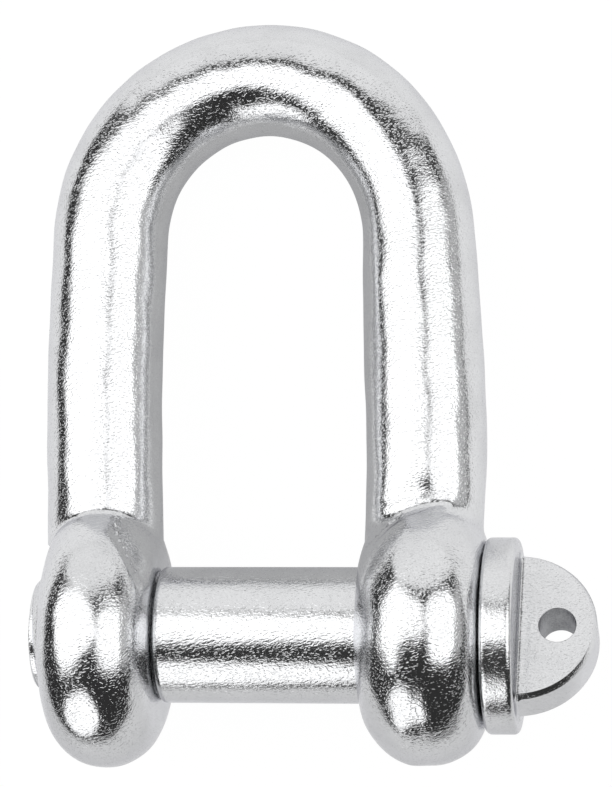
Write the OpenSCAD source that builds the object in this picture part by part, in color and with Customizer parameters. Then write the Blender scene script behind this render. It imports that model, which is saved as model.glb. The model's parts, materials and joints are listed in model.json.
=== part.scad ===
// Screw pin dee shackle: a bow forged from round bar with an eye at each end, closed
// by a pin that screws into one eye and has a collar and a drilled tab beyond the other.
// Sizes are millimetres. The pin's axis runs along X through the origin, midway between
// the eyes. The shackle lies on a level surface, on both eyes and on its crown, with Z up.

/* [Bow] */
// Diameter of the round bar
bar_d = 22.2; // [16:0.2:26]
// Clear width between the two legs
inside_w = 38.2; // [32:0.2:60]
// Clear length from the pin to the inside of the crown
inside_l = 83.2; // [60:0.2:140]

/* [Eyes] */
// Outside diameter of each eye
eye_d = 50.6; // [46:0.2:60]
// Thickness of the plain eye as forged
plain_eye_t = 24.3; // [20:0.1:28]
// Thickness of the threaded eye as forged
thread_eye_t = 21.1; // [18:0.1:28]
// How far each eye stands past its leg into the gap
eye_proud = 0.1; // [0:0.1:1]
// Radius of the forged round along each edge of an eye's rim
eye_round = 11.7; // [6:0.1:14]
// Radius of the round along the plain eye's edge beside the collar
collar_side_round = 10.5; // [5:0.5:11]
// Depth that the flat seats are faced into the forged sides of an eye
seat_cut = 0.15; // [0.05:0.05:0.5]
// Width of the flat seat around each bore
seat_w = 2.5; // [1:0.1:5]

/* [Pin shank and thread] */
// Diameter of the plain shank
pin_d = 25.8; // [18:0.1:28]
// Clearance all round the shank in the plain eye
shank_clear = 0.9; // [0.3:0.1:1.5]
// Gap between the end of the shank and the threaded eye
shoulder_gap = 0.3; // [0.1:0.1:1]
// Chamfer on the end of the shank
shank_chamfer = 0.6; // [0.2:0.1:1.5]
// Outside diameter of the thread
thread_d = 24; // [12:0.5:25]
// Clearance all round the thread in the threaded eye
thread_clear = 0.2; // [0.1:0.05:0.4]
// How far the threaded tip stands out of its eye
tip_out = 2.9; // [0.2:0.1:6]
// Chamfer on the threaded tip
tip_chamfer = 2; // [0.5:0.1:3]

/* [Collar and tab] */
// Diameter of the collar
collar_d = 37; // [34:0.5:48]
// Thickness of the collar
collar_t = 6.1; // [5:0.1:12]
// Radius of the collar's rounded edges
collar_round = 1; // [0.5:0.1:2.4]
// Clearance all round the collar in the seat faced for it
collar_seat_clear = 1; // [0.5:0.1:3]
// Width of the tab across the pin
tab_w = 30; // [20:0.2:33]
// Reach of the tab beyond the collar
tab_l = 14.8; // [12:0.2:24]
// Thickness of the tab
tab_t = 9.2; // [5:0.2:12]
// Radius of the tab's rounded edges
tab_round = 1.4; // [0.4:0.1:2]
// Radius of the fillet between the tab and the collar
tab_fillet = 1.6; // [0.5:0.1:3]
// Turn of the tab about the pin, away from lying flat in the plane of the bow
tab_turn = 23; // [0:1:180]
// Diameter of the hole for the securing wire
wire_hole_d = 7; // [4:0.5:10]
// Distance from the collar to the centre of the wire hole
wire_hole_x = 7.4; // [6:0.2:12]

/* [Hidden] */
$fn = 96;
// Distance by which cutting shapes reach past the faces that they cut
over = 3;
// Least half width of the straight land between the two rounds of a rim
rim_land = 0.1;

// Legs and bow
leg_x = (inside_w + bar_d) / 2;
crown_y = pin_d / 2 + inside_l + bar_d / 2;
bow_y = crown_y - leg_x;
// Angle at which the bow falls away from the eyes when the shackle lies down
lie = asin((eye_d - bar_d) / 2 / crown_y);

// Eyes and their bores
eye_face_x = inside_w / 2 - eye_proud;
jaw_x = eye_face_x + seat_cut;
outer_x = eye_face_x + plain_eye_t - seat_cut;
thread_outer_x = eye_face_x + thread_eye_t - seat_cut;
plain_bore_d = pin_d + 2 * shank_clear;
thread_bore_d = thread_d + 2 * thread_clear;
collar_seat_d = collar_d + 2 * collar_seat_clear;

// Stations along the pin
shank_x = -jaw_x + shoulder_gap;
tip_x = -thread_outer_x - tip_out;
collar_x = outer_x + collar_t;
tab_centre_x = collar_x + tab_l - tab_w / 2;

bow_grey = [0.78, 0.79, 0.80];
pin_grey = [0.70, 0.71, 0.72];

// Half section of a disc of radius r and thickness t, its rim rounded below and above
module disc_section(r, t, edge_below, edge_above) {
    mirror([0, 1]) disc_half(r, t / 2, edge_below);
    disc_half(r, t / 2, edge_above);
}

// The part of a disc's half section above its middle plane
module disc_half(r, h, edge) {
    square([r - edge, h]);
    square([r, h - edge]);
    translate([r - edge, h - edge]) circle(r = edge);
}

// Turns what stands along Z so that it runs along the pin, Z up becoming +X
module along_pin() {
    rotate([0, 90, 0]) children();
}

// Half ring that joins the two legs
module bow() {
    translate([0, bow_y, 0]) rotate_extrude(angle = 180) translate([leg_x, 0]) circle(d = bar_d);
}

// The leg on one side, -1 or 1, from the middle of its eye to the bow
module leg(side) {
    translate([side * leg_x, 0, 0]) rotate([-90, 0, 0]) cylinder(d = bar_d, h = bow_y);
}

// One eye of thickness t as forged, with its outer side towards +X
module eye(t, outer_round) {
    round_limit = t / 2 - rim_land;
    translate([eye_face_x + t / 2, 0, 0]) along_pin()
        rotate_extrude() disc_section(eye_d / 2, t, min(eye_round, round_limit), min(outer_round, round_limit));
}

// What a cutter of diameter d takes away beyond x to face an eye towards +X
module facing(x, d) {
    translate([x, 0, 0]) along_pin() cylinder(d = d, h = over);
}

// Bore of the eye on the +X side and the seats faced around it, the outer one at outer_seat_x
module eye_cuts(bore_d, outer_seat_x, outer_seat_d) {
    translate([jaw_x - over, 0, 0]) along_pin() cylinder(d = bore_d, h = outer_seat_x - jaw_x + 2 * over);
    facing(outer_seat_x, outer_seat_d);
    mirror([1, 0, 0]) facing(-jaw_x, bore_d + 2 * seat_w);
}

// Bow, legs and eyes in one forging, with the plain eye on the +X side
module shackle_body() {
    color(bow_grey) rotate([-lie, 0, 0]) difference() {
        union() {
            bow();
            for (side = [-1, 1]) leg(side);
            eye(plain_eye_t, collar_side_round);
            mirror([1, 0, 0]) eye(thread_eye_t, eye_round);
        }
        eye_cuts(plain_bore_d, outer_x, collar_seat_d);
        mirror([1, 0, 0]) eye_cuts(thread_bore_d, thread_outer_x, thread_bore_d + 2 * seat_w);
    }
}

// Shank and threaded end in one turned outline, up to the middle of the collar
module pin_bar() {
    thread_r = thread_d / 2;
    shank_r = pin_d / 2;
    along_pin() rotate_extrude() polygon([
        [0, tip_x],
        [thread_r - tip_chamfer, tip_x],
        [thread_r, tip_x + tip_chamfer],
        [thread_r, shank_x],
        [shank_r - shank_chamfer, shank_x],
        [shank_r, shank_x + shank_chamfer],
        [shank_r, outer_x + collar_t / 2],
        [0, outer_x + collar_t / 2]
    ]);
}

// Round collar that seats on the plain eye
module collar() {
    translate([outer_x + collar_t / 2, 0, 0]) along_pin()
        rotate_extrude() disc_section(collar_d / 2, collar_t, collar_round, collar_round);
}

// Half disc with rounded edges that grows out of the collar, lying flat in XY
module tab() {
    root_x = collar_x - collar_t / 2;
    intersection() {
        translate([tab_centre_x, 0, 0])
            rotate_extrude() disc_section(tab_w / 2, tab_t, tab_round, tab_round);
        translate([root_x, -tab_w, -tab_t]) cube([tab_l + collar_t, 2 * tab_w, 2 * tab_t]);
    }
    for (side = [0, 1]) mirror([0, 0, side]) tab_root_fillet();
}

// Concave strip in the corner between one face of the tab and the collar
module tab_root_fillet() {
    strip_l = tab_w - 4 * tab_round;
    translate([collar_x, strip_l / 2, tab_t / 2]) rotate([90, 0, 0]) linear_extrude(strip_l)
        difference() {
            translate([-over, -over]) square(tab_fillet + over);
            translate([tab_fillet, tab_fillet]) circle(r = tab_fillet);
        }
}

// Hole through the tab for a securing wire
module wire_hole() {
    translate([collar_x + wire_hole_x, 0, 0])
        cylinder(d = wire_hole_d, h = tab_t + 2 * over, center = true);
}

module screw_pin() {
    color(pin_grey) rotate([-lie - tab_turn, 0, 0]) difference() {
        union() {
            pin_bar();
            collar();
            tab();
        }
        wire_hole();
    }
}

shackle_body();
screw_pin();
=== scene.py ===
"""Screw pin dee shackle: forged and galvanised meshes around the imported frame, in a small white studio.

Meshes are built in millimetres, in the shackle's own frame, and brought to metres when they are finished.
"""

from __future__ import annotations

import json
import logging
import math
from dataclasses import dataclass, replace
from enum import Enum
from typing import Callable

import bmesh
import bpy
import numpy as np
from mathutils import Matrix, Vector

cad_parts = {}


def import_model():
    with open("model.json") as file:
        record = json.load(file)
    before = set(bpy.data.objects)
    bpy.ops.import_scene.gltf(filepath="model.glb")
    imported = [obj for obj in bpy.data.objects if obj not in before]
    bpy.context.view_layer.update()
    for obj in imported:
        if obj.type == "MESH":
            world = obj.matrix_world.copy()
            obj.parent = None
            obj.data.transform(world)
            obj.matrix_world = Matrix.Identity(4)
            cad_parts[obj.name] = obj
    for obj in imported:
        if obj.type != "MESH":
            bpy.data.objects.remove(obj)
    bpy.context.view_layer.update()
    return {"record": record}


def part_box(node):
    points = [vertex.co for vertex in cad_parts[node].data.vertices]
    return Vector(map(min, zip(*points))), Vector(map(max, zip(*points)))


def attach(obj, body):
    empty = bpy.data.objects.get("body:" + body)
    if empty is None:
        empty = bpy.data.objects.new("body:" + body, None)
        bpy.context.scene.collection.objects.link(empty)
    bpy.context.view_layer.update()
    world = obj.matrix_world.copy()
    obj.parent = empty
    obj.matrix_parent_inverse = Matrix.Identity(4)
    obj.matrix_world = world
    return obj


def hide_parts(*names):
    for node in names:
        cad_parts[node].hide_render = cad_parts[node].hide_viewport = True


LOG = logging.getLogger("shackle")
MM = 0.001
IMAGE_HEIGHT = 787
WHITE = (1.0, 1.0, 1.0, 1.0)
# Keeps divisors above zero
TINY = 1e-9
# Sockets of a Mix node that mixes colours
MIX_SHARE, MIX_FIRST, MIX_SECOND, MIX_RESULT = 0, 6, 7, 2

# Screw thread and the place that the camera looks at, in millimetres
THREAD_R = 12.0
THREAD_DEPTH = 1.8
THREAD_PITCH = 3.0
THREAD_CLEAR = 0.2
TAP_LEAD = 0.1
SHOULDER_GAP = 0.3
CAMERA_TARGET = (8.95, 45.78, 0.0)

# Fineness of the mesh work
MERGE_GAP = 1e-4
THREAD_MERGE_GAP = 1e-3
SMOOTH_PASSES = 3
SMOOTH_SHARE = 0.5
CURVE_POINTS = 13

Field = Callable[[np.ndarray], np.ndarray]


class Side(Enum):
    """The two eyes of the shackle, by the sign of their X."""

    THREADED = -1
    PLAIN = 1


def smooth_union(a: np.ndarray, b: np.ndarray, fillet: np.ndarray | float) -> np.ndarray:
    """Joins two distance fields with a fillet.

    Args:
        a: Distances to the first form.
        b: Distances to the second form.
        fillet: Width over which the two forms flow together.

    Returns:
        Distances to the joined form.
    """
    near = np.maximum(fillet - np.abs(a - b), 0.0)
    return np.minimum(a, b) - near * near / np.maximum(4.0 * fillet, TINY)


def bump_at(distance: np.ndarray, width: float) -> np.ndarray:
    """Bell curve of the distance, 1 at its middle and about a third at the width."""
    return np.exp(-((distance / width) ** 2))


def rounded_disc(
    axial: np.ndarray,
    radial: np.ndarray,
    half_thickness: float,
    radius: float,
    edge: np.ndarray | float,
) -> tuple[np.ndarray, np.ndarray, np.ndarray]:
    """Distance to a disc with a rounded rim.

    Args:
        axial: Places along the disc's axis, from its middle plane.
        radial: Distances from the disc's axis.
        half_thickness: Half of the disc's thickness.
        radius: The disc's outside radius.
        edge: Radius of the round along the rim.

    Returns:
        The distances, and the axial and radial parts of the outward direction.
    """
    along = np.abs(axial) - (half_thickness - edge)
    across = radial - (radius - edge)
    along_out = np.maximum(along, 0.0)
    across_out = np.maximum(across, 0.0)
    reach = np.sqrt(along_out**2 + across_out**2)
    distance = reach + np.minimum(np.maximum(along, across), 0.0) - edge
    reach = np.maximum(reach, TINY)
    return distance, np.sign(axial) * along_out / reach, across_out / reach


def spin_about_x(bm: bmesh.types.BMesh, outline: list[tuple[float, float]], steps: int) -> None:
    """Turns an outline of (x, radius) points about the X axis and merges its seam and poles.

    Args:
        bm: Mesh that receives the turned shape.
        outline: Points from one end of the axis to the other.
        steps: Number of steps in the full turn.
    """
    verts = [bm.verts.new((x, 0.0, r)) for x, r in outline]
    edges = [bm.edges.new(pair) for pair in zip(verts, verts[1:])]
    bmesh.ops.spin(
        bm,
        geom=verts + edges,
        cent=(0, 0, 0),
        axis=(1, 0, 0),
        dvec=(0, 0, 0),
        angle=math.tau,
        steps=steps,
        use_merge=True,
        use_duplicate=False,
    )
    close_seams(bm)


def close_seams(bm: bmesh.types.BMesh) -> None:
    """Merges doubled points and turns all faces outwards."""
    bmesh.ops.remove_doubles(bm, verts=bm.verts, dist=MERGE_GAP)
    bmesh.ops.recalc_face_normals(bm, faces=bm.faces)


def cut_across(bm: bmesh.types.BMesh, place: float, inward: int) -> None:
    """Cuts a mesh off square to the X axis and leaves the cut open.

    Args:
        bm: Mesh that is cut.
        place: Where the cut lies along X.
        inward: Sign of the way along X that is kept.
    """
    bmesh.ops.bisect_plane(
        bm,
        geom=bm.verts[:] + bm.edges[:] + bm.faces[:],
        plane_co=(place, 0, 0),
        plane_no=(inward, 0, 0),
        clear_inner=True,
    )


def close_ends(bm: bmesh.types.BMesh) -> None:
    """Fills the open ends of a mesh, merges its doubled points and turns its faces outwards."""
    bmesh.ops.holes_fill(bm, edges=[edge for edge in bm.edges if edge.is_boundary])
    close_seams(bm)


def made_object(bm: bmesh.types.BMesh, name: str) -> bpy.types.Object:
    """Turns a bmesh into an object of the scene and frees the bmesh.

    Args:
        bm: Finished bmesh.
        name: Name of the object and its mesh.

    Returns:
        The new object, at the origin.
    """
    mesh = bpy.data.meshes.new(name)
    bm.to_mesh(mesh)
    bm.free()
    obj = bpy.data.objects.new(name, mesh)
    bpy.context.scene.collection.objects.link(obj)
    return obj


def apply_modifiers(obj: bpy.types.Object) -> None:
    """Replaces an object's mesh by what its modifiers make of it, and removes them.

    Args:
        obj: Object with live modifiers.
    """
    graph = bpy.context.evaluated_depsgraph_get()
    mesh = bpy.data.meshes.new_from_object(obj.evaluated_get(graph))
    old = obj.data
    obj.modifiers.clear()
    obj.data = mesh
    bpy.data.meshes.remove(old)


def combine(obj: bpy.types.Object, tools: list[bpy.types.Object], operation: str) -> None:
    """Runs a Boolean of an object with each tool in turn and removes the tools.

    Args:
        obj: Object that is changed.
        tools: Closed objects that cut it or join it.
        operation: DIFFERENCE, UNION or INTERSECT.
    """
    for tool in tools:
        boolean = obj.modifiers.new("combine", "BOOLEAN")
        boolean.operation = operation
        boolean.solver = "EXACT"
        boolean.object = tool
        apply_modifiers(obj)
        bpy.data.objects.remove(tool)


def fuse(obj: bpy.types.Object, grain: float) -> None:
    """Fuses overlapping shells into one even skin.

    Args:
        obj: Object with one or more closed shells.
        grain: Edge length of the skin's faces.
    """
    remesh = obj.modifiers.new("fuse", "REMESH")
    remesh.mode = "VOXEL"
    remesh.voxel_size = grain
    apply_modifiers(obj)


def settle(mesh: bpy.types.Mesh, form: Field, passes: int = 4) -> None:
    """Moves a mesh's points straight onto the surface where a distance field is zero.

    Args:
        mesh: Mesh that already lies close to the surface.
        form: Distance field of the wanted form.
        passes: Number of times that each point is corrected.
    """
    flat = np.empty(len(mesh.vertices) * 3)
    mesh.vertices.foreach_get("co", flat)
    points = flat.reshape(-1, 3)
    step = 0.02
    least_steepness = 0.05
    for _ in range(passes):
        slope = np.stack(
            [(form(points + axis) - form(points - axis)) / (2 * step) for axis in np.eye(3) * step], axis=1
        )
        steepness = np.maximum((slope**2).sum(axis=1), least_steepness)
        points = points - slope * (form(points) / steepness)[:, None]
    mesh.vertices.foreach_set("co", points.ravel())
    mesh.update()


def forge_skin(obj: bpy.types.Object, form: Field, grain: float) -> None:
    """Fuses a rough shape and settles it onto its form, in two finenesses.

    Args:
        obj: Object with the rough shape.
        form: Distance field of the wanted form.
        grain: Edge length of the coarser of the two skins.
    """
    fuse(obj, grain)
    bm = bmesh.new()
    bm.from_mesh(obj.data)
    for _ in range(SMOOTH_PASSES):
        bmesh.ops.smooth_vert(
            bm, verts=bm.verts, factor=SMOOTH_SHARE, use_axis_x=True, use_axis_y=True, use_axis_z=True
        )
    bm.to_mesh(obj.data)
    bm.free()
    settle(obj.data, form)
    finer = obj.modifiers.new("finer", "SUBSURF")
    finer.levels = finer.render_levels = 1
    apply_modifiers(obj)
    settle(obj.data, form)


def finish_piece(obj: bpy.types.Object, crease_angle: float = math.radians(38)) -> None:
    """Brings a finished piece to metres and shades it smooth, with its sharper edges kept.

    Args:
        obj: Piece in millimetres, with its place in its mesh.
        crease_angle: Angle between two faces above which their edge stays sharp.
    """
    bm = bmesh.new()
    bm.from_mesh(obj.data)
    bmesh.ops.remove_doubles(bm, verts=bm.verts, dist=MERGE_GAP)
    bmesh.ops.scale(bm, vec=(MM, MM, MM), verts=bm.verts)
    for face in bm.faces:
        face.smooth = True
    for edge in bm.edges:
        edge.smooth = edge.calc_face_angle(math.pi) < crease_angle
    bm.to_mesh(obj.data)
    bm.free()


@dataclass
class ScrewThread:
    """A right-hand thread about the X axis.

    The shares say how much of a pitch its flat root and its flat crest take.
    """

    crest_r: float
    root_r: float
    pitch: float
    phase_x: float
    root_share: float = 0.25
    crest_share: float = 0.125
    steps: int = 72

    def solid(self, start_x: float, end_x: float, name: str) -> bpy.types.Object:
        """Makes a closed threaded rod.

        Args:
            start_x: Place of its lower end.
            end_x: Place of its upper end.
            name: Name of the object.

        Returns:
            The rod as an object.
        """
        spare = 2
        bm = bmesh.new()
        flank = (1.0 - self.root_share - self.crest_share) / 2
        shares = [0.0, self.root_share, self.root_share + flank, 1.0 - flank, 1.0]
        radii = [self.root_r, self.root_r, self.crest_r, self.crest_r, self.root_r]
        first = self.phase_x + self.pitch * (math.floor((start_x - self.phase_x) / self.pitch) - spare)
        turns = math.ceil((end_x - first) / self.pitch) + spare
        verts = [bm.verts.new((first + s * self.pitch, 0.0, r)) for s, r in zip(shares, radii)]
        edges = [bm.edges.new(pair) for pair in zip(verts, verts[1:])]
        bmesh.ops.spin(
            bm,
            geom=verts + edges,
            cent=(0, 0, 0),
            axis=(1, 0, 0),
            dvec=(self.pitch / self.steps, 0, 0),
            angle=math.tau * turns,
            steps=self.steps * turns,
            use_merge=False,
            use_duplicate=False,
        )
        bmesh.ops.remove_doubles(bm, verts=bm.verts, dist=THREAD_MERGE_GAP)
        cut_across(bm, start_x, 1)
        cut_across(bm, end_x, -1)
        close_ends(bm)
        return made_object(bm, name)


@dataclass(frozen=True)
class BarQuirk:
    """A place where the forged bar leaves its true line and thickness.

    Places run along the bar: 0 where the plain eye's leg meets the bow, and on round the crown to the other
    leg. A shift is outwards from the bow, and a swell adds to the bar's radius.
    """

    place: float
    spread: float
    shift: float
    swell: float


@dataclass(frozen=True)
class Crease:
    """A groove, or a ridge if its depth is negative, along a curve from start to end.

    It is steep on one side, over its width, and eases out on the other, over its ease. The eased side is
    the one towards eases_to, a direction in X and Y.
    """

    start: tuple[float, float, float]
    bend: tuple[float, float, float]
    end: tuple[float, float, float]
    depth: float
    width: float
    ease: float
    eases_to: tuple[float, float] = (1.0, 1.0)

    def field(self, p: np.ndarray) -> np.ndarray:
        """How far the crease pushes the surface in.

        Args:
            p: Points, one row each.

        Returns:
            The push at each point.
        """
        share = np.linspace(0.0, 1.0, CURVE_POINTS)[:, None]
        start, bend, end = (np.array(point) for point in (self.start, self.bend, self.end))
        curve = start * (1 - share) ** 2 + 2 * bend * share * (1 - share) + end * share**2
        reach = 3 * self.ease
        near = np.all((p > curve.min(axis=0) - reach) & (p < curve.max(axis=0) + reach), axis=1)
        close = p[near]
        best = np.full(len(close), np.inf)
        taper = np.zeros(len(close))
        spread = np.full(len(close), self.width)
        for i in range(len(curve) - 1):
            along = curve[i + 1] - curve[i]
            place = np.clip((close - curve[i]) @ along / (along @ along), 0.0, 1.0)
            offset = close - curve[i] - place[:, None] * along
            gap = np.linalg.norm(offset, axis=1)
            eased = np.where(offset[:, :2] @ np.array(self.eases_to) > 0, self.ease, self.width)
            spread = np.where(gap < best, eased, spread)
            taper = np.where(gap < best, np.sin(np.pi * (i + place) / (len(curve) - 1)), taper)
            best = np.minimum(gap, best)
        push = np.zeros(len(p))
        push[near] = self.depth * np.exp(-((best / spread) ** 2)) * np.sqrt(np.maximum(taper, 0.0))
        return push


BAR_QUIRKS = (
    BarQuirk(place=-44, spread=22, shift=1.15, swell=0.1),
    BarQuirk(place=-30, spread=20, shift=0.0, swell=0.4),
    BarQuirk(place=12, spread=20, shift=-1.15, swell=-0.5),
    BarQuirk(place=52, spread=22, shift=0.0, swell=-0.3),
    BarQuirk(place=122, spread=24, shift=0.9, swell=0.0),
)

# The fold at the threaded eye's neck, then the fold and the ridge at the plain eye's neck
NECK_CREASES = (
    Crease(
        start=(-27.8, 22.0, 13.0),
        bend=(-23.5, 16.0, 18.5),
        end=(-19.5, 8.0, 17.5),
        depth=0.95,
        width=0.85,
        ease=5.2,
    ),
    Crease(
        start=(22.5, 16.5, 15.2),
        bend=(28.5, 23.9, 12.0),
        end=(37.0, 24.5, 10.0),
        depth=1.2,
        width=1.2,
        ease=4.6,
        eases_to=(-1.0, 1.0),
    ),
    Crease(
        start=(22.0, 22.7, 7.5),
        bend=(27.5, 23.6, 12.0),
        end=(33.0, 26.0, 10.8),
        depth=-0.35,
        width=0.9,
        ease=0.9,
    ),
)

# Directions and wave numbers of the hammered surface, in radians to the millimetre
HAMMER_WAVES = (
    (0.55, 0.21, 0.47),
    (-0.34, 0.58, 0.29),
    (0.18, -0.33, 0.71),
    (0.81, 0.42, -0.16),
    (-0.27, 0.12, 0.93),
)
HAMMER_PHASE = 1.7
HAMMER_LEVEL = 0.6


@dataclass
class ShackleBody:
    """The forged bow with its plain eye and its threaded eye."""

    # From the frame
    lie: float
    eye_r: float
    crown_in: float
    pin_r: float
    outer_x: float
    # Bar and eyes as forged
    bar_r: float = 11.1
    leg_x: float = 30.2
    eye_face_x: float = 19.0
    thread_eye_t: float = 21.1
    rim_r: float = 11.7
    rim_land: float = 0.1
    collar_side_r: float = 10.5
    plain_neck_fillet: float = 5.0
    thread_neck_fillet: float = 1.8
    # Where this forging strays from its true form
    plain_face_in: float = 0.6
    plain_eye_lift: float = 0.6
    plain_crown_h: float = 0.8
    plain_crown_w: float = 5.0
    thread_eye_sag: float = 1.2
    parting_x: float = 28.9
    parting_h: float = 0.35
    parting_w: float = 4.0
    wave_h: float = 0.022
    # Bores and seats
    seat_cut: float = 0.15
    seat_w: float = 5.0
    shank_clear: float = 0.9
    bore_chamfer: float = 0.7
    tap_mouth: float = 0.2
    collar_seat_r: float = 19.5
    # Blanks, tools and fineness
    blank_corner: float = 0.35
    bore_reach: float = 3.0
    tap_reach: float = 2.0
    bar_steps: int = 48
    eye_steps: int = 64
    bore_steps: int = 96
    grain: float = 1.25

    @property
    def bow_y(self) -> float:
        """Distance from the pin's axis to the centre of the bow's half ring."""
        return self.crown_in + self.bar_r - self.leg_x

    def face_x(self, side: Side) -> float:
        """Distance from the middle to the inner side of an eye as forged."""
        return self.eye_face_x + (self.plain_face_in if side is Side.PLAIN else 0.0)

    def jaw_x(self, side: Side) -> float:
        """Distance from the middle to the faced seat on the inner side of an eye."""
        return self.face_x(side) + self.seat_cut

    def eye_t(self, side: Side) -> float:
        """Thickness of an eye as forged."""
        return self.outer_x + self.seat_cut - self.face_x(side) if side is Side.PLAIN else self.thread_eye_t

    def eye_x(self, side: Side) -> float:
        """Place of an eye's middle plane along the pin."""
        return side.value * (self.face_x(side) + self.eye_t(side) / 2)

    def rough_bar(self, bm: bmesh.types.BMesh) -> None:
        """Sweeps a round section up one leg, round the bow and down the other leg.

        Args:
            bm: Mesh that receives the bar.
        """
        ring = bmesh.ops.create_circle(
            bm,
            segments=self.bar_steps,
            radius=self.bar_r,
            matrix=Matrix.Translation((self.leg_x, 0, 0)) @ Matrix.Rotation(math.pi / 2, 4, "X"),
        )
        edges = list({edge for vert in ring["verts"] for edge in vert.link_edges})
        edges = self._extrude(bm, edges, (0, self.bow_y, 0))
        swept = bmesh.ops.spin(
            bm,
            geom=edges,
            cent=(0, self.bow_y, 0),
            axis=(0, 0, 1),
            dvec=(0, 0, 0),
            angle=math.pi,
            steps=self.bar_steps,
            use_merge=False,
            use_duplicate=False,
        )
        last = [item for item in swept["geom_last"] if isinstance(item, bmesh.types.BMEdge)]
        self._extrude(bm, last, (0, -self.bow_y, 0))
        close_ends(bm)

    @staticmethod
    def _extrude(
        bm: bmesh.types.BMesh, edges: list[bmesh.types.BMEdge], move: tuple[float, float, float]
    ) -> list[bmesh.types.BMEdge]:
        """Extrudes a loop of edges by a move.

        Args:
            bm: Mesh that holds the loop.
            edges: Edges of the loop.
            move: How far the new loop lies from the old one.

        Returns:
            The edges of the new loop.
        """
        made = bmesh.ops.extrude_edge_only(bm, edges=edges)["geom"]
        verts = [item for item in made if isinstance(item, bmesh.types.BMVert)]
        bmesh.ops.translate(bm, verts=verts, vec=move)
        fresh = set(verts)
        return [
            item for item in made if isinstance(item, bmesh.types.BMEdge) and fresh.issuperset(item.verts)
        ]

    def rough_eye(self, bm: bmesh.types.BMesh, side: Side) -> None:
        """Turns the blank of one eye, a disc with blunt corners.

        Args:
            bm: Mesh that receives the blank.
            side: Which eye.
        """
        middle = self.eye_x(side)
        half = self.eye_t(side) / 2
        corner = self.blank_corner * self.rim_r
        outline = [
            (middle - half, 0.0),
            (middle - half, self.eye_r - self.rim_r),
            (middle - half + corner, self.eye_r - corner),
            (middle, self.eye_r),
            (middle + half - corner, self.eye_r - corner),
            (middle + half, self.eye_r - self.rim_r),
            (middle + half, 0.0),
        ]
        spin_about_x(bm, outline, steps=self.eye_steps)

    def bar_field(self, p: np.ndarray) -> tuple[np.ndarray, np.ndarray]:
        """Distance to the swept bar.

        Args:
            p: Points, one row each.

        Returns:
            The distances, and the outward directions.
        """
        x, y, z = p.T
        above = np.maximum(y - self.bow_y, 0.0)
        below = np.minimum(y, 0.0)
        ring = np.sqrt(x**2 + above**2)
        safe = np.maximum(ring, TINY)
        half_bow = self.leg_x * math.pi / 2
        climb = self.leg_x * np.arctan2(above, np.abs(x)) + np.minimum(y - self.bow_y, 0.0)
        place = np.where(x >= 0, climb, 2 * half_bow - climb)
        shift = sum(quirk.shift * bump_at(place - quirk.place, quirk.spread) for quirk in BAR_QUIRKS)
        swell = sum(quirk.swell * bump_at(place - quirk.place, quirk.spread) for quirk in BAR_QUIRKS)
        across = ring - self.leg_x - shift
        reach = np.maximum(np.sqrt(across**2 + z**2 + below**2), TINY)
        direction = np.stack([across * x / safe, across * above / safe + below, z], axis=1) / reach[:, None]
        return reach - self.bar_r - swell, direction

    def eye_field(self, p: np.ndarray, side: Side) -> tuple[np.ndarray, np.ndarray]:
        """Distance to one forged eye.

        Args:
            p: Points, one row each.
            side: Which eye.

        Returns:
            The distances, and the outward directions.
        """
        x, y, z = p.T
        axial = x - self.eye_x(side)
        half = self.eye_t(side) / 2
        if side is Side.PLAIN:
            y = y - self.plain_eye_lift
        else:
            y = y + self.thread_eye_sag * np.clip(z / self.eye_r, 0.0, 1.0)
        radial = np.maximum(np.sqrt(y**2 + z**2), TINY)
        edge = np.full_like(x, min(self.rim_r, half - self.rim_land))
        if side is Side.PLAIN:
            edge = np.where(axial > 0, self.collar_side_r, edge)
        distance, out_axial, out_radial = rounded_disc(axial, radial, half, self.eye_r, edge)
        return distance, np.stack([out_axial, out_radial * y / radial, out_radial * z / radial], axis=1)

    def form(self, p: np.ndarray) -> np.ndarray:
        """Distance to the whole forging, with fillets where bar and eyes meet at an angle.

        Args:
            p: Points, one row each.

        Returns:
            The distances.
        """
        distance, bar_out = self.bar_field(p)
        for side in Side:
            eye, eye_out = self.eye_field(p, side)
            flush = np.clip((bar_out * eye_out).sum(axis=1), 0.0, 1.0)
            fillet = self.thread_neck_fillet
            if side is Side.PLAIN:
                fillet = self.plain_neck_fillet
                beside = p[:, 0] - self.parting_x
                fall = self.parting_h * (1.0 - np.exp(-np.abs(beside) / self.parting_w))
                crown = self.plain_crown_h * (1.0 - bump_at(np.minimum(beside, 0.0), self.plain_crown_w))
                fall = fall + crown * np.clip(p[:, 2] / self.bar_r, 0.0, 1.0)
                eye = eye + fall * (1.0 - eye_out[:, 0] ** 2)
            distance = smooth_union(distance, eye, fillet * (1.0 - flush))
        for crease in NECK_CREASES:
            distance = distance + crease.field(p)
        return distance + self.hammering(p)

    def hammering(self, p: np.ndarray) -> np.ndarray:
        """Gentle unevenness that hammer and die leave all over the forging.

        Args:
            p: Points, one row each.

        Returns:
            How far the surface lies in at each point.
        """
        waves = (np.sin(p @ np.array(wave) + HAMMER_PHASE * i) for i, wave in enumerate(HAMMER_WAVES))
        return self.wave_h * sum(HAMMER_LEVEL + wave for wave in waves)

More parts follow.
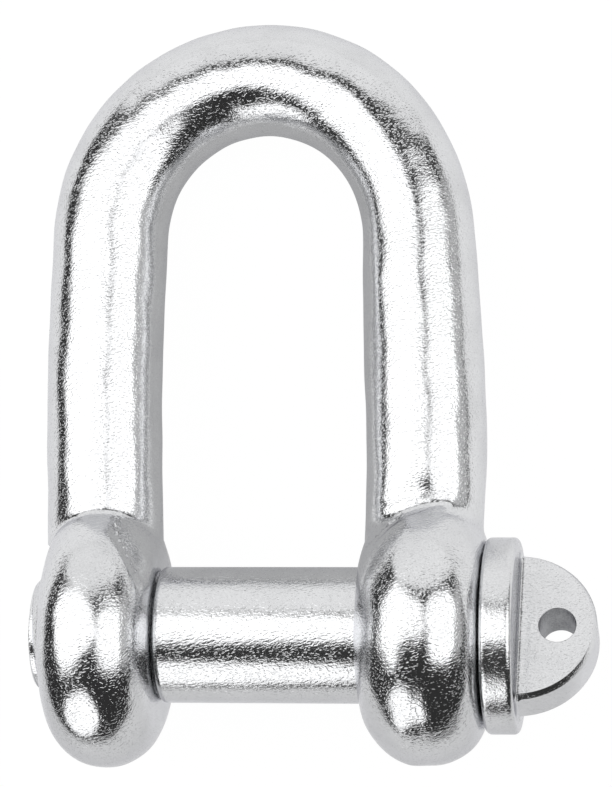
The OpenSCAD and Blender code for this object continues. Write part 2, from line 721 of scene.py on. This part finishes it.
    def bore_tool(self, side: Side, bore_r: float, mouth_r: float, outer_seat_r: float) -> bpy.types.Object:
        """Turns the tool that bores one eye, faces its seats and breaks the bore's edges.

        Args:
            side: Which eye.
            bore_r: Radius of the bore.
            mouth_r: Radius at which the bore's broken edges meet the seats.
            outer_seat_r: Radius of the seat faced on the eye's outer side.

        Returns:
            The tool as a closed object.
        """
        reach = self.bore_reach
        flare = mouth_r - bore_r
        inner_seat_r = mouth_r - self.bore_chamfer + self.seat_w
        jaw_x = self.jaw_x(side)
        outer_x = self.face_x(side) + self.eye_t(side) - self.seat_cut
        outline = [
            (jaw_x - reach, 0.0),
            (jaw_x - reach, inner_seat_r),
            (jaw_x, inner_seat_r),
            (jaw_x, mouth_r),
            (jaw_x + flare, bore_r),
            (outer_x - flare, bore_r),
            (outer_x, mouth_r),
            (outer_x, outer_seat_r),
            (outer_x + reach, outer_seat_r),
            (outer_x + reach, 0.0),
        ]
        bm = bmesh.new()
        spin_about_x(bm, [(side.value * x, r) for x, r in outline], steps=self.bore_steps)
        return made_object(bm, f"bore_tool_{side.name.lower()}")

    def build(self, thread: ScrewThread, finish: bpy.types.Material) -> bpy.types.Object:
        """Forges, tilts and bores the body.

        Args:
            thread: Thread that the tap cuts in the threaded eye.
            finish: Material of the whole body.

        Returns:
            The finished piece.
        """
        bm = bmesh.new()
        self.rough_bar(bm)
        for side in Side:
            self.rough_eye(bm, side)
        body = made_object(bm, "forged_body")
        body.data.materials.append(finish)
        forge_skin(body, self.form, self.grain)
        body.data.transform(Matrix.Rotation(-self.lie, 4, "X"))
        plain_r = self.pin_r + self.shank_clear
        mouth_r = thread.crest_r + self.tap_mouth
        tap_start = -self.outer_x - self.tap_reach
        tap_end = -self.jaw_x(Side.THREADED) + self.tap_reach
        tools = [
            self.bore_tool(Side.PLAIN, plain_r, plain_r + self.bore_chamfer, self.collar_seat_r),
            self.bore_tool(Side.THREADED, thread.root_r, mouth_r, thread.crest_r + self.seat_w),
            thread.solid(tap_start, tap_end, "tap"),
        ]
        combine(body, tools, "DIFFERENCE")
        finish_piece(body)
        return body


class PinSkin(Enum):
    """Stretches of the pin's surface, by material slot."""

    TURNED = 0
    FORGED = 1
    DRILLED_PAINTED_SHADE = 2


@dataclass
class ScrewPin:
    """The pin: threaded end, plain shank, round collar and drilled tab."""

    # From the frame
    shank_r: float
    shank_x: float
    tip_x: float
    seat_x: float
    tab_tip_x: float
    tab_turn: float
    hole_x: float
    hole_r: float
    # Collar, tab and ends
    collar_r: float = 18.5
    collar_t: float = 6.1
    collar_round: float = 1.0
    tab_w: float = 30.0
    tab_t: float = 9.2
    tab_round: float = 0.3
    tab_bevel_face: float = 0.7
    tab_bevel_rim: float = 1.1
    tab_fillet: float = 1.6
    shank_round: float = 1.0
    tip_chamfer: float = 2.0
    hole_chamfer: float = 0.1
    # Tools and fineness
    bevel_start: float = 0.4
    drill_reach: float = 2.0
    thread_overlap: float = 2.0
    round_steps: int = 96
    tab_steps: int = 64
    grain: float = 0.75

    @property
    def collar_x(self) -> float:
        """Place of the collar's outer face."""
        return self.seat_x + self.collar_t

    @property
    def tab_x(self) -> float:
        """Place of the centre of the tab's round."""
        return self.tab_tip_x - self.tab_w / 2

    def rough(self) -> bmesh.types.BMesh:
        """Makes the blank: a turned shank with its collar, and half a disc for the tab.

        Returns:
            The blank as a mesh of two overlapping shells.
        """
        bm = bmesh.new()
        outline = [
            (self.shank_x, 0.0),
            (self.shank_x, self.shank_r),
            (self.seat_x, self.shank_r),
            (self.seat_x, self.collar_r),
            (self.collar_x, self.collar_r),
            (self.collar_x, 0.0),
        ]
        spin_about_x(bm, outline, steps=self.round_steps)
        tab = bmesh.new()
        bmesh.ops.create_cone(
            tab,
            cap_ends=True,
            segments=self.tab_steps,
            radius1=self.tab_w / 2,
            radius2=self.tab_w / 2,
            depth=self.tab_t,
            matrix=Matrix.Translation((self.tab_x, 0, 0)),
        )
        cut_across(tab, self.collar_x - self.collar_t / 2, 1)
        close_ends(tab)
        mesh = bpy.data.meshes.new("tab_blank")
        tab.to_mesh(mesh)
        tab.free()
        bm.from_mesh(mesh)
        bpy.data.meshes.remove(mesh)
        return bm

    def form(self, p: np.ndarray) -> np.ndarray:
        """Distance to the pin without its thread and its hole.

        Args:
            p: Points, one row each.

        Returns:
            The distances.
        """
        x, y, z = p.T
        radial = np.sqrt(y**2 + z**2)
        middle = (self.shank_x + self.collar_x) / 2
        half = (self.collar_x - self.shank_x) / 2
        shank, _, _ = rounded_disc(x - middle, radial, half, self.shank_r, self.shank_round)
        collar, _, _ = rounded_disc(
            x - self.seat_x - self.collar_t / 2, radial, self.collar_t / 2, self.collar_r, self.collar_round
        )
        flat = np.sqrt((x - self.tab_x) ** 2 + y**2)
        tab, _, _ = rounded_disc(z, flat, self.tab_t / 2, self.tab_w / 2, self.tab_round)
        tab = np.maximum(tab, self.collar_x - self.collar_t / 2 - x)
        return np.minimum(shank, smooth_union(collar, tab, self.tab_fillet))

    def hole_tool(self) -> bpy.types.Object:
        """Turns the drill for the wire hole, with a flare that breaks the hole's edges.

        Returns:
            The drill as a closed object.
        """
        reach = self.drill_reach
        half = self.tab_t / 2
        rim = self.hole_r + self.hole_chamfer
        outline = [
            (-half - reach, 0.0),
            (-half - reach, rim),
            (-half, rim),
            (-half + self.hole_chamfer, self.hole_r),
            (half - self.hole_chamfer, self.hole_r),
            (half, rim),
            (half + reach, rim),
            (half + reach, 0.0),
        ]
        bm = bmesh.new()
        spin_about_x(bm, outline, steps=self.tab_steps)
        for face in bm.faces:
            # The drilled wall takes the slot that is rougher and darker with painted shade in the hole
            face.material_index = PinSkin.DRILLED_PAINTED_SHADE.value
        upright = Matrix.Rotation(math.pi / 2, 4, "Y")
        bmesh.ops.transform(bm, matrix=Matrix.Translation((self.hole_x, 0, 0)) @ upright, verts=bm.verts)
        return made_object(bm, "wire_drill")

    def bevel_tool(self, face: int) -> bpy.types.Object:
        """Turns the cutter that bevels the edge of the tab's upper or lower face.

        Args:
            face: 1 for the upper face, -1 for the lower one.

        Returns:
            The cutter as a closed object.
        """
        on_face = Vector((self.tab_w / 2 - self.tab_bevel_face, self.tab_t / 2))
        on_rim = Vector((self.tab_w / 2, self.tab_t / 2 - self.tab_bevel_rim))
        reach = on_rim - on_face
        corners = (on_face - reach, on_rim + reach, Vector((on_rim.x + reach.x, on_face.y - reach.y)))
        bm = bmesh.new()
        verts = [bm.verts.new((self.tab_x + r, 0.0, face * z)) for r, z in corners]
        bmesh.ops.spin(
            bm,
            geom=[bm.faces.new(verts)],
            cent=(self.tab_x, 0, 0),
            axis=(0, 0, 1),
            dvec=(0, 0, 0),
            angle=math.tau,
            steps=2 * self.tab_steps,
            use_merge=True,
            use_duplicate=False,
        )
        # The section's own triangle would close the ring off inside
        sections = [made for made in bm.faces if len(made.verts) == 3]
        bmesh.ops.delete(bm, geom=sections, context="FACES_ONLY")
        cut_across(bm, self.collar_x + self.bevel_start, 1)
        close_ends(bm)
        for made in bm.faces:
            made.material_index = PinSkin.FORGED.value
        return made_object(bm, "bevel_tool")

    def threaded_end(self, thread: ScrewThread) -> bpy.types.Object:
        """Cuts a chamfered threaded rod that reaches a little way into the shank.

        Args:
            thread: Thread on the pin's end.

        Returns:
            The rod as a closed object.
        """
        tip_spare = 1.0
        root_spare = 0.5
        clear = 0.01
        root_x = self.shank_x + self.thread_overlap
        rod = thread.solid(self.tip_x - tip_spare, root_x, "threaded_end")
        outline = [
            (self.tip_x, 0.0),
            (self.tip_x, thread.crest_r - self.tip_chamfer),
            (self.tip_x + self.tip_chamfer, thread.crest_r + clear),
            (root_x - root_spare, thread.crest_r + clear),
            (root_x - root_spare, 0.0),
        ]
        bm = bmesh.new()
        spin_about_x(bm, outline, steps=self.round_steps)
        combine(rod, [made_object(bm, "chamfer_tool")], "INTERSECT")
        return rod

    def build(self, thread: ScrewThread, finishes: dict[PinSkin, bpy.types.Material]) -> bpy.types.Object:
        """Forges, drills and threads the pin.

        Args:
            thread: Thread on the pin's end.
            finishes: Material of each stretch of its surface.

        Returns:
            The finished piece.
        """
        pin = made_object(self.rough(), "turned_pin")
        for skin in PinSkin:
            pin.data.materials.append(finishes[skin])
        forge_skin(pin, self.form, self.grain)
        for face in pin.data.polygons:
            head = face.center.x > self.seat_x
            face.material_index = (PinSkin.FORGED if head else PinSkin.TURNED).value
        combine(pin, [self.hole_tool(), self.bevel_tool(1), self.bevel_tool(-1)], "DIFFERENCE")
        pin.data.transform(Matrix.Rotation(-self.tab_turn, 4, "X"))
        combine(pin, [self.threaded_end(thread)], "UNION")
        finish_piece(pin)
        return pin


class Tree:
    """Small helper that adds and links the nodes of one node tree."""

    def __init__(self, tree: bpy.types.NodeTree) -> None:
        """Takes the tree that is filled."""
        self.tree = tree

    def add(self, kind: str, links: dict | None = None, **settings: object) -> bpy.types.Node:
        """Adds a node.

        Args:
            kind: Type of the node.
            links: Values or source sockets for the node's inputs, by name or number.
            settings: Values for the node's own properties.

        Returns:
            The new node.
        """
        node = self.tree.nodes.new(kind)
        for name, value in settings.items():
            setattr(node, name, value)
        for key, value in (links or {}).items():
            if isinstance(value, bpy.types.NodeSocket):
                self.tree.links.new(value, node.inputs[key])
            else:
                node.inputs[key].default_value = value
        return node

    def math(self, operation: str, a: object, b: object = 0.0, c: object = 0.0) -> bpy.types.NodeSocket:
        """Adds a Math node.

        Args:
            operation: What the node does.
            a: First value or source socket.
            b: Second value or source socket.
            c: Third value or source socket.

        Returns:
            The node's value.
        """
        return self.add("ShaderNodeMath", {0: a, 1: b, 2: c}, operation=operation).outputs[0]

    def ramp(
        self, value: object, low: float, high: float, to_low: float = 0.0, to_high: float = 1.0
    ) -> bpy.types.NodeSocket:
        """Adds a smooth step between two values.

        Args:
            value: Value or source socket that is stepped.
            low: Where the step starts.
            high: Where it ends.
            to_low: Result before the step.
            to_high: Result after it.

        Returns:
            The step's result.
        """
        node = self.add(
            "ShaderNodeMapRange",
            {"Value": value, "From Min": low, "From Max": high, "To Min": to_low, "To Max": to_high},
            interpolation_type="SMOOTHSTEP",
        )
        return node.outputs["Result"]


def empty_tree(owner: bpy.types.Material | bpy.types.World | bpy.types.Light) -> Tree:
    """Switches on the nodes of a material, world or lamp and clears them.

    Args:
        owner: What the nodes belong to.

    Returns:
        The helper that fills the tree.
    """
    owner.use_nodes = True
    owner.node_tree.nodes.clear()
    return Tree(owner.node_tree)


def facing(back: Vector) -> Matrix:
    """Finds how a camera or lamp is turned that looks against a direction, with +Y up in its view.

    Args:
        back: Unit vector from what it looks at towards itself.

    Returns:
        The turn, as three rows and columns.
    """
    up = Vector((0, 1, 0))
    up = (up - back * up.dot(back)).normalized()
    return Matrix((up.cross(back), up, back)).transposed()


def new_group(name: str, inputs: dict[str, float], outputs: list[str]) -> tuple[bpy.types.NodeTree, Tree]:
    """Starts a shader node group that reads a Vector.

    Args:
        name: Name of the group.
        inputs: Value inputs and their defaults.
        outputs: Names of the value outputs.

    Returns:
        The group, and the helper that fills it.
    """
    group = bpy.data.node_groups.new(name, "ShaderNodeTree")
    group.interface.new_socket("Vector", in_out="INPUT", socket_type="NodeSocketVector")
    for key, value in inputs.items():
        socket = group.interface.new_socket(key, in_out="INPUT", socket_type="NodeSocketFloat")
        socket.default_value = value
    for key in outputs:
        group.interface.new_socket(key, in_out="OUTPUT", socket_type="NodeSocketFloat")
    return group, Tree(group)


def noise(
    tree: Tree, place: bpy.types.NodeSocket, size: bpy.types.NodeSocket, detail: float
) -> bpy.types.NodeSocket:
    """Adds a noise texture.

    Args:
        tree: Tree that receives it.
        place: Coordinates that it reads.
        size: Size of its grains, in metres.
        detail: Number of finer layers.

    Returns:
        The noise, from 0 to 1.
    """
    scale = tree.math("DIVIDE", 1.0, size)
    node = tree.add("ShaderNodeTexNoise", {"Vector": place, "Scale": scale, "Detail": detail})
    return node.outputs["Fac"]


def zinc_grain_group() -> bpy.types.NodeTree:
    """Makes the grain of the zinc skin: fine crystals, short wrinkles along X and scattered pits.

    Returns:
        The group.
    """
    lean = math.radians(14)
    wrinkle_length, wrinkle_size = 3.0, 1.7
    pit_length, pit_size = 1.8, 1.15
    pit_edge = (0.54, 0.74)
    speckle_edge = (0.3, 0.7)
    inputs = {"Grain Size": 0.0003, "Fine": 1.0, "Wrinkle": 1.0, "Pits": 1.0}
    group, tree = new_group("zinc_grain", inputs, ["Height", "Speckle"])
    given = tree.add("NodeGroupInput").outputs
    fine = noise(tree, given["Vector"], given["Grain Size"], detail=1.0)
    long, short = (
        tree.add(
            "ShaderNodeMapping",
            {"Vector": given["Vector"], "Rotation": (0.0, 0.0, lean), "Scale": (length, 1.0, 1.0)},
            vector_type="TEXTURE",
        ).outputs[0]
        for length in (wrinkle_length, pit_length)
    )
    wrinkles = noise(tree, long, tree.math("MULTIPLY", given["Grain Size"], wrinkle_size), detail=1.0)
    spots = noise(tree, short, tree.math("MULTIPLY", given["Grain Size"], pit_size), detail=0.0)
    pits = tree.math("MULTIPLY", tree.ramp(spots, *pit_edge), given["Pits"])
    crystals = tree.math("SUBTRACT", tree.math("MULTIPLY", fine, given["Fine"]), pits)
    height = tree.math("MULTIPLY_ADD", wrinkles, given["Wrinkle"], crystals)
    tree.add("NodeGroupOutput", {"Height": height, "Speckle": tree.ramp(fine, *speckle_edge)})
    return group


def forge_wave_group() -> bpy.types.NodeTree:
    """Makes the shallow dimples left by forging, and the slow change of tone that goes with them.

    Returns:
        The group.
    """
    tone_size, tone_detail = 2.0, 5.0
    tone_edge = (0.35, 0.7)
    group, tree = new_group("forge_wave", {"Dimple Size": 0.004}, ["Height", "Tone"])
    given = tree.add("NodeGroupInput").outputs
    dimples = noise(tree, given["Vector"], given["Dimple Size"], detail=1.0)
    tone = noise(tree, given["Vector"], tree.math("MULTIPLY", given["Dimple Size"], tone_size), tone_detail)
    tree.add("NodeGroupOutput", {"Height": dimples, "Tone": tree.ramp(tone, *tone_edge)})
    return group


@dataclass(frozen=True)
class ZincFinish:
    """Bright galvanised finish of one stretch of surface. Grain and dimples are in metres."""

    name: str
    bright: tuple[float, float, float, float]
    dull: tuple[float, float, float, float]
    edge_tint: tuple[float, float, float, float]
    roughness: float
    rough_speckle: float
    grain_size: float
    grain_depth: float
    fine: float
    wrinkle: float
    pits: float
    dimple_size: float
    dimple_depth: float
    tone_share: float = 0.5

    def material(self, grain: bpy.types.NodeTree, wave: bpy.types.NodeTree) -> bpy.types.Material:
        """Makes the material from the shared groups.

        Args:
            grain: The zinc grain group.
            wave: The forging wave group.

        Returns:
            The finished material.
        """
        material = bpy.data.materials.new(self.name)
        tree = empty_tree(material)
        place = tree.add("ShaderNodeTexCoord").outputs["Object"]
        skin = tree.add(
            "ShaderNodeGroup",
            {
                "Vector": place,
                "Grain Size": self.grain_size,
                "Fine": self.fine,
                "Wrinkle": self.wrinkle,
                "Pits": self.pits,
            },
            node_tree=grain,
        ).outputs
        forged = tree.add(
            "ShaderNodeGroup", {"Vector": place, "Dimple Size": self.dimple_size}, node_tree=wave
        ).outputs
        dimples = tree.add("ShaderNodeBump", {"Height": forged["Height"], "Distance": self.dimple_depth})
        bump = tree.add(
            "ShaderNodeBump",
            {"Height": skin["Height"], "Distance": self.grain_depth, "Normal": dimples.outputs["Normal"]},
        )
        speckle = tree.math("MULTIPLY", skin["Speckle"], 1.0 - self.tone_share)
        worn = tree.math("MULTIPLY_ADD", forged["Tone"], self.tone_share, speckle)
        tones = {MIX_SHARE: worn, MIX_FIRST: self.bright, MIX_SECOND: self.dull}
        colour = tree.add("ShaderNodeMix", tones, data_type="RGBA")
        roughness = tree.math("MULTIPLY_ADD", skin["Speckle"], self.rough_speckle, self.roughness)
        shader = tree.add(
            "ShaderNodeBsdfPrincipled",
            {
                "Base Color": colour.outputs[MIX_RESULT],
                "Metallic": 1.0,
                "Roughness": roughness,
                "Specular Tint": self.edge_tint,
                "Normal": bump.outputs["Normal"],
            },
        )
        tree.add("ShaderNodeOutputMaterial", {"Surface": shader.outputs["BSDF"]})
        return material


BODY_ZINC = ZincFinish(
    name="forged_zinc",
    bright=(0.78, 0.785, 0.795, 1.0),
    dull=(0.67, 0.675, 0.685, 1.0),
    edge_tint=(0.86, 0.86, 0.88, 1.0),
    roughness=0.08,
    rough_speckle=0.08,
    grain_size=0.0003,
    grain_depth=0.00003,
    fine=0.6,
    wrinkle=1.0,
    pits=0.8,
    dimple_size=0.004,
    dimple_depth=0.00008,
)
SHANK_ZINC = replace(
    BODY_ZINC,
    name="turned_zinc",
    dull=(0.69, 0.695, 0.705, 1.0),
    roughness=0.10,
    fine=0.8,
    wrinkle=1.5,
    pits=0.8,
    dimple_size=0.005,
    dimple_depth=0.00005,
)
HEAD_ZINC = replace(
    BODY_ZINC,
    name="forged_head_zinc",
    roughness=0.14,
    fine=0.9,
    wrinkle=0.3,
    pits=0.6,
)
# The wire hole's wall: rougher as drilled, and darker with painted shade in the hole
HOLE_WALL_PAINTED_SHADE_ZINC = replace(
    BODY_ZINC,
    name="drilled_zinc",
    bright=(0.42, 0.425, 0.435, 1.0),
    dull=(0.22, 0.225, 0.235, 1.0),
    roughness=0.30,
    grain_depth=0.00004,
)


@dataclass(frozen=True)
class Softbox:
    """A soft lamp with rounded corners that faces the shackle.

    Angles are measured from straight up, to +X and to +Y, in degrees, as seen from the middle of the
    shackle. A barn door cuts the lamp off along a slanting line: door gives the line's direction across the
    lamp, as the angle of its outward normal in degrees, and how far it lies from the middle, in half sizes.
    """

    name: str
    angle_x: float
    angle_y: float
    half_x: float
    half_y: float
    radiance: float
    squareness: float = 3.0
    softness: float = 0.7
    distance: float = 0.5
    door: tuple[float, float] = (0.0, 3.0)
    watts_per_area: float = 4.0

    def glow(self, data: bpy.types.AreaLight) -> None:
        """Gives the lamp rounded corners, soft edges and its barn door.

        Args:
            data: The lamp's light.
        """
        tree = empty_tree(data)
        spot = tree.add("ShaderNodeNewGeometry").outputs["Parametric"]
        across = tree.add("ShaderNodeSeparateXYZ", {0: spot}).outputs
        u, v = (tree.math("MULTIPLY_ADD", across[axis], 2.0, -1.0) for axis in "XY")
        powers = [tree.math("POWER", tree.math("ABSOLUTE", side), self.squareness) for side in (u, v)]
        inside = tree.ramp(tree.math("ADD", *powers), 1.0, 1.0 - self.softness)
        turn, gap = math.radians(self.door[0]), self.door[1]
        outward = tree.math("MULTIPLY_ADD", u, math.cos(turn), tree.math("MULTIPLY", v, math.sin(turn)))
        open_side = tree.ramp(outward, gap, gap - self.softness / 2)
        glow = tree.add("ShaderNodeEmission", {"Strength": tree.math("MULTIPLY", inside, open_side)})
        tree.add("ShaderNodeOutputLight", {"Surface": glow.outputs[0]})

    def place(self, target: Vector) -> None:
        """Hangs the lamp around a target.

        Args:
            target: What the lamp faces.
        """
        tilt = math.hypot(self.angle_x, self.angle_y)
        turn = math.atan2(self.angle_y, self.angle_x)
        slant = math.sin(math.radians(tilt))
        back = Vector((slant * math.cos(turn), slant * math.sin(turn), math.cos(math.radians(tilt))))
        data = bpy.data.lights.new(self.name, "AREA")
        data.shape = "RECTANGLE"
        data.size = 2 * self.distance * math.tan(math.radians(self.half_x))
        data.size_y = 2 * self.distance * math.tan(math.radians(self.half_y))
        data.energy = self.watts_per_area * self.radiance * data.size * data.size_y
        self.glow(data)
        lamp = bpy.data.objects.new(self.name, data)
        lamp.matrix_world = Matrix.Translation(target + back * self.distance) @ facing(back).to_4x4()
        lamp.visible_camera = False
        bpy.context.scene.collection.objects.link(lamp)


SOFTBOXES = (
    Softbox(
        "left_softbox", angle_x=-31.5, angle_y=4, half_x=46.5, half_y=36, radiance=1.25, door=(-58, 0.74)
    ),
    Softbox("right_softbox", angle_x=41.5, angle_y=4, half_x=32, half_y=32, radiance=1.15, distance=0.9),
    Softbox("front_reflector", angle_x=-25, angle_y=-66, half_x=27, half_y=22, radiance=1.1),
)


@dataclass(frozen=True)
class SheetFade:
    """A line beyond which the shackle's mirrors see less of the white sheet. At a depth of 1 it is the
    sheet's edge, and below 1 it is painted shade.

    The way that the edge faces is an angle from +X towards +Y, in degrees. The sheet fades out between two
    distances from the origin, by a depth: 1 leaves only the dark room.
    """

    faces: float
    fade_start: float
    fade_end: float
    depth: float = 1.0


SHEET_EDGES_AND_PAINTED_SHADE = (
    SheetFade(faces=-45, fade_start=0.14, fade_end=0.26),
    SheetFade(faces=210, fade_start=0.13, fade_end=0.22),
    # Painted shadow just in front of the eyes, seen only in mirrors
    SheetFade(faces=-90, fade_start=0.016, fade_end=0.04, depth=0.2),
)


@dataclass
class Studio:
    """Camera, lamps, floor and room around the shackle, in metres.

    Fades are the two values between which something comes in.
    """

    floor_z: float
    target: Vector
    # White sheet, as floor and as what mirrors see of it
    white_share: float = 0.96
    white_glow: float = 1.02
    mirror_share: float = 0.72
    floor_tone: tuple[float, float, float, float] = (0.85, 0.85, 0.85, 1.0)
    floor_size: float = 6.0
    # Painted shade on the sheet inside the bow, seen only in mirrors, in place of the shackle's shadow
    painted_bow_shade: float = 0.43
    bow_middle: tuple[float, float, float] = (0.0, 0.056, 0.0)
    bow_reach: tuple[float, float, float] = (0.033, 0.052, 10.0)
    bow_fade: tuple[float, float] = (0.7, 1.5)
    # Room, by direction: dark, and pale behind and to the right
    dark_room: float = 0.034
    behind_tone: float = 0.97
    behind_fade: tuple[float, float] = (0.62, 0.72)
    right_tone: float = 0.54
    right_fade: tuple[float, float] = (0.80, 0.92)
    right_front_fade: tuple[float, float] = (-0.35, -0.15)
    # Camera
    lean_x: float = 0.1479
    lean_y: float = 0.0034
    roll: float = -0.0064
    distance: float = 0.7316
    pixels_per_metre: float = 5281.2

    def camera(self) -> None:
        """Sets up the camera that looks down on the shackle."""
        data = bpy.data.cameras.new("camera")
        data.sensor_width = 36.0
        data.lens = data.sensor_width * self.pixels_per_metre * self.distance / IMAGE_HEIGHT
        data.clip_start = 0.01
        data.clip_end = 20.0
        camera = bpy.data.objects.new("camera", data)
        back = Vector((self.lean_x, self.lean_y, 1.0)).normalized()
        turn = facing(back) @ Matrix.Rotation(self.roll, 3, "Z")
        camera.matrix_world = Matrix.Translation(self.target + back * self.distance) @ turn.to_4x4()
        bpy.context.scene.collection.objects.link(camera)
        bpy.context.scene.camera = camera

    def seen_white(self, tree: Tree) -> bpy.types.NodeSocket:
        """Finds how white the floor looks by itself: most when seen straight, less in mirrors.

        Args:
            tree: Tree of the floor's material.

        Returns:
            The share of white, from 0 to 1.
        """
        path = tree.add("ShaderNodeLightPath").outputs
        straight = tree.math("MAXIMUM", path["Is Camera Ray"], path["Is Transmission Ray"])
        straight = tree.math("MULTIPLY", straight, self.white_share)
        mirrored = tree.math("MULTIPLY", path["Is Glossy Ray"], self.mirror_share)
        return tree.math("MAXIMUM", straight, mirrored)

    def painted_shade_in_bow(self, tree: Tree) -> bpy.types.NodeSocket:
        """Finds the painted shade that stands in for the shackle's shadow on the sheet inside its bow, as
        mirrors see it.

        Args:
            tree: Tree of the floor's material.

        Returns:
            The painted shade, from 0 to its greatest share.
        """
        place = tree.add("ShaderNodeTexCoord").outputs["Object"]
        centred = tree.add(
            "ShaderNodeMapping",
            {"Vector": place, "Location": self.bow_middle, "Scale": self.bow_reach},
            vector_type="TEXTURE",
        )
        away = tree.add("ShaderNodeVectorMath", {0: centred.outputs[0]}, operation="LENGTH")
        return tree.ramp(away.outputs["Value"], *self.bow_fade, self.painted_bow_shade, 0.0)

    def dark_room_and_painted_shade(self, tree: Tree) -> bpy.types.NodeSocket:
        """Finds how far mirrors see the dark room instead of the white sheet, and the painted shade laid on
        the sheet.

        Args:
            tree: Tree of the floor's material.

        Returns:
            The share of the dark room and of the painted shade, from 0 to 1.
        """
        place = tree.add("ShaderNodeTexCoord").outputs["Object"]
        # Painted shade inside the bow, then the sheet's edges and the painted shadow in front
        room_and_painted_shade = self.painted_shade_in_bow(tree)
        for edge in SHEET_EDGES_AND_PAINTED_SHADE:
            turn = math.radians(edge.faces)
            way = (math.cos(turn), math.sin(turn), 0.0)
            outward = tree.add("ShaderNodeVectorMath", {0: place, 1: way}, operation="DOT_PRODUCT")
            beyond = tree.ramp(outward.outputs["Value"], edge.fade_start, edge.fade_end, 0.0, edge.depth)
            room_and_painted_shade = tree.math("MAXIMUM", room_and_painted_shade, beyond)
        return tree.math("MULTIPLY", room_and_painted_shade, tree.add("ShaderNodeLightPath").outputs["Is Glossy Ray"])

    def floor(self) -> None:
        """Lays a white floor under the shackle, which still takes a soft shadow; mirrors see it with
        painted shade inside the bow and in front of the eyes.
        """
        bm = bmesh.new()
        bmesh.ops.create_grid(
            bm,
            x_segments=1,
            y_segments=1,
            size=self.floor_size / 2,
            matrix=Matrix.Translation((self.target.x, self.target.y, self.floor_z)),
        )
        floor = made_object(bm, "floor")
        material = bpy.data.materials.new("white_floor")
        tree = empty_tree(material)
        share = self.seen_white(tree)
        room_and_painted_shade = self.dark_room_and_painted_shade(tree)
        plain = tree.add("ShaderNodeBsdfDiffuse", {"Color": self.floor_tone})
        white = tree.add("ShaderNodeEmission", {"Color": WHITE, "Strength": self.white_glow})
        dark = tree.add("ShaderNodeEmission", {"Color": WHITE, "Strength": self.dark_room})
        sheet = tree.add("ShaderNodeMixShader", {0: share, 1: plain.outputs[0], 2: white.outputs[0]})
        # Mirrors see the dark room beyond the sheet's edges and the painted shade laid on the sheet
        shown = tree.add("ShaderNodeMixShader", {0: room_and_painted_shade, 1: sheet.outputs[0], 2: dark.outputs[0]})
        tree.add("ShaderNodeOutputMaterial", {"Surface": shown.outputs[0]})
        floor.data.materials.append(material)

    def world(self) -> None:
        """Paints the room: white for the camera, pale behind and to the right, dark elsewhere."""
        world = bpy.data.worlds.new("studio")
        bpy.context.scene.world = world
        tree = empty_tree(world)
        direction = tree.add("ShaderNodeTexCoord").outputs["Generated"]
        way = tree.add("ShaderNodeSeparateXYZ", {0: direction}).outputs
        behind = tree.math("MULTIPLY", tree.ramp(way["Y"], *self.behind_fade), self.behind_tone)
        rightward = tree.ramp(way["X"], *self.right_fade)
        aside = tree.math("MULTIPLY", rightward, tree.ramp(way["Y"], *self.right_front_fade))
        pale = tree.math("MAXIMUM", behind, tree.math("MULTIPLY", aside, self.right_tone))
        tone = tree.math("MAXIMUM", pale, self.dark_room)
        camera = tree.add("ShaderNodeLightPath").outputs["Is Camera Ray"]
        shown = tree.math("MAXIMUM", tone, camera)
        sky = tree.add("ShaderNodeBackground", {"Color": WHITE, "Strength": shown})
        tree.add("ShaderNodeOutputWorld", {"Surface": sky.outputs[0]})

    def build(self) -> None:
        """Sets up camera, floor, world and lamps."""
        self.camera()
        self.floor()
        self.world()
        for softbox in SOFTBOXES:
            softbox.place(self.target)


def main() -> None:
    """Builds the shackle and its studio."""
    logging.basicConfig(level=logging.INFO, format="%(name)s: %(message)s")
    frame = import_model()
    mounts = {mount["name"]: mount for mount in frame["record"]["mounts"]}
    body_low, body_high = (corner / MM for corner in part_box("shackle_body"))
    pin_low, pin_high = (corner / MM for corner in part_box("screw_pin"))
    shank, hole, seat = mounts["pin_shank"], mounts["wire_hole"], mounts["bow_seat"]

    body = ShackleBody(
        lie=math.asin(seat["axis"][2]),
        eye_r=(body_high.z - body_low.z) / 2,
        crown_in=Vector(seat["pos_m"]).length / MM,
        pin_r=shank["dims"]["r_mm"],
        outer_x=body_high.x,
    )
    pin = ScrewPin(
        shank_r=shank["dims"]["r_mm"],
        shank_x=-body.jaw_x(Side.THREADED) + SHOULDER_GAP,
        tip_x=pin_low.x,
        seat_x=body.outer_x,
        tab_tip_x=pin_high.x,
        tab_turn=math.atan2(hole["axis"][1], hole["axis"][2]),
        hole_x=hole["pos_m"][0] / MM,
        hole_r=hole["dims"]["r_mm"],
    )
    pin_thread = ScrewThread(
        crest_r=THREAD_R, root_r=THREAD_R - THREAD_DEPTH, pitch=THREAD_PITCH, phase_x=pin.tip_x
    )
    tap_thread = replace(
        pin_thread,
        crest_r=pin_thread.crest_r + THREAD_CLEAR,
        root_r=pin_thread.root_r + THREAD_CLEAR,
        phase_x=pin.tip_x - TAP_LEAD,
        root_share=0.18,
        crest_share=0.19,
    )
    grain, wave = zinc_grain_group(), forge_wave_group()
    pin_finishes = {
        PinSkin.TURNED: SHANK_ZINC.material(grain, wave),
        PinSkin.FORGED: HEAD_ZINC.material(grain, wave),
        # Rough drilled wall with painted shade in the wire hole
        PinSkin.DRILLED_PAINTED_SHADE: HOLE_WALL_PAINTED_SHADE_ZINC.material(grain, wave),
    }
    made = {
        "shackle_body": body.build(tap_thread, BODY_ZINC.material(grain, wave)),
        "screw_pin": pin.build(pin_thread, pin_finishes),
    }
    for node, piece in made.items():
        LOG.info("%s: %d faces", piece.name, len(piece.data.polygons))
        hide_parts(node)
    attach(made["shackle_body"], "shackle")
    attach(made["screw_pin"], "pin")

    studio = Studio(floor_z=body_low.z * MM, target=Vector(CAMERA_TARGET) * MM)
    studio.build()
    bpy.context.scene.view_settings.view_transform = "Standard"


if __name__ == "__main__":
    main()
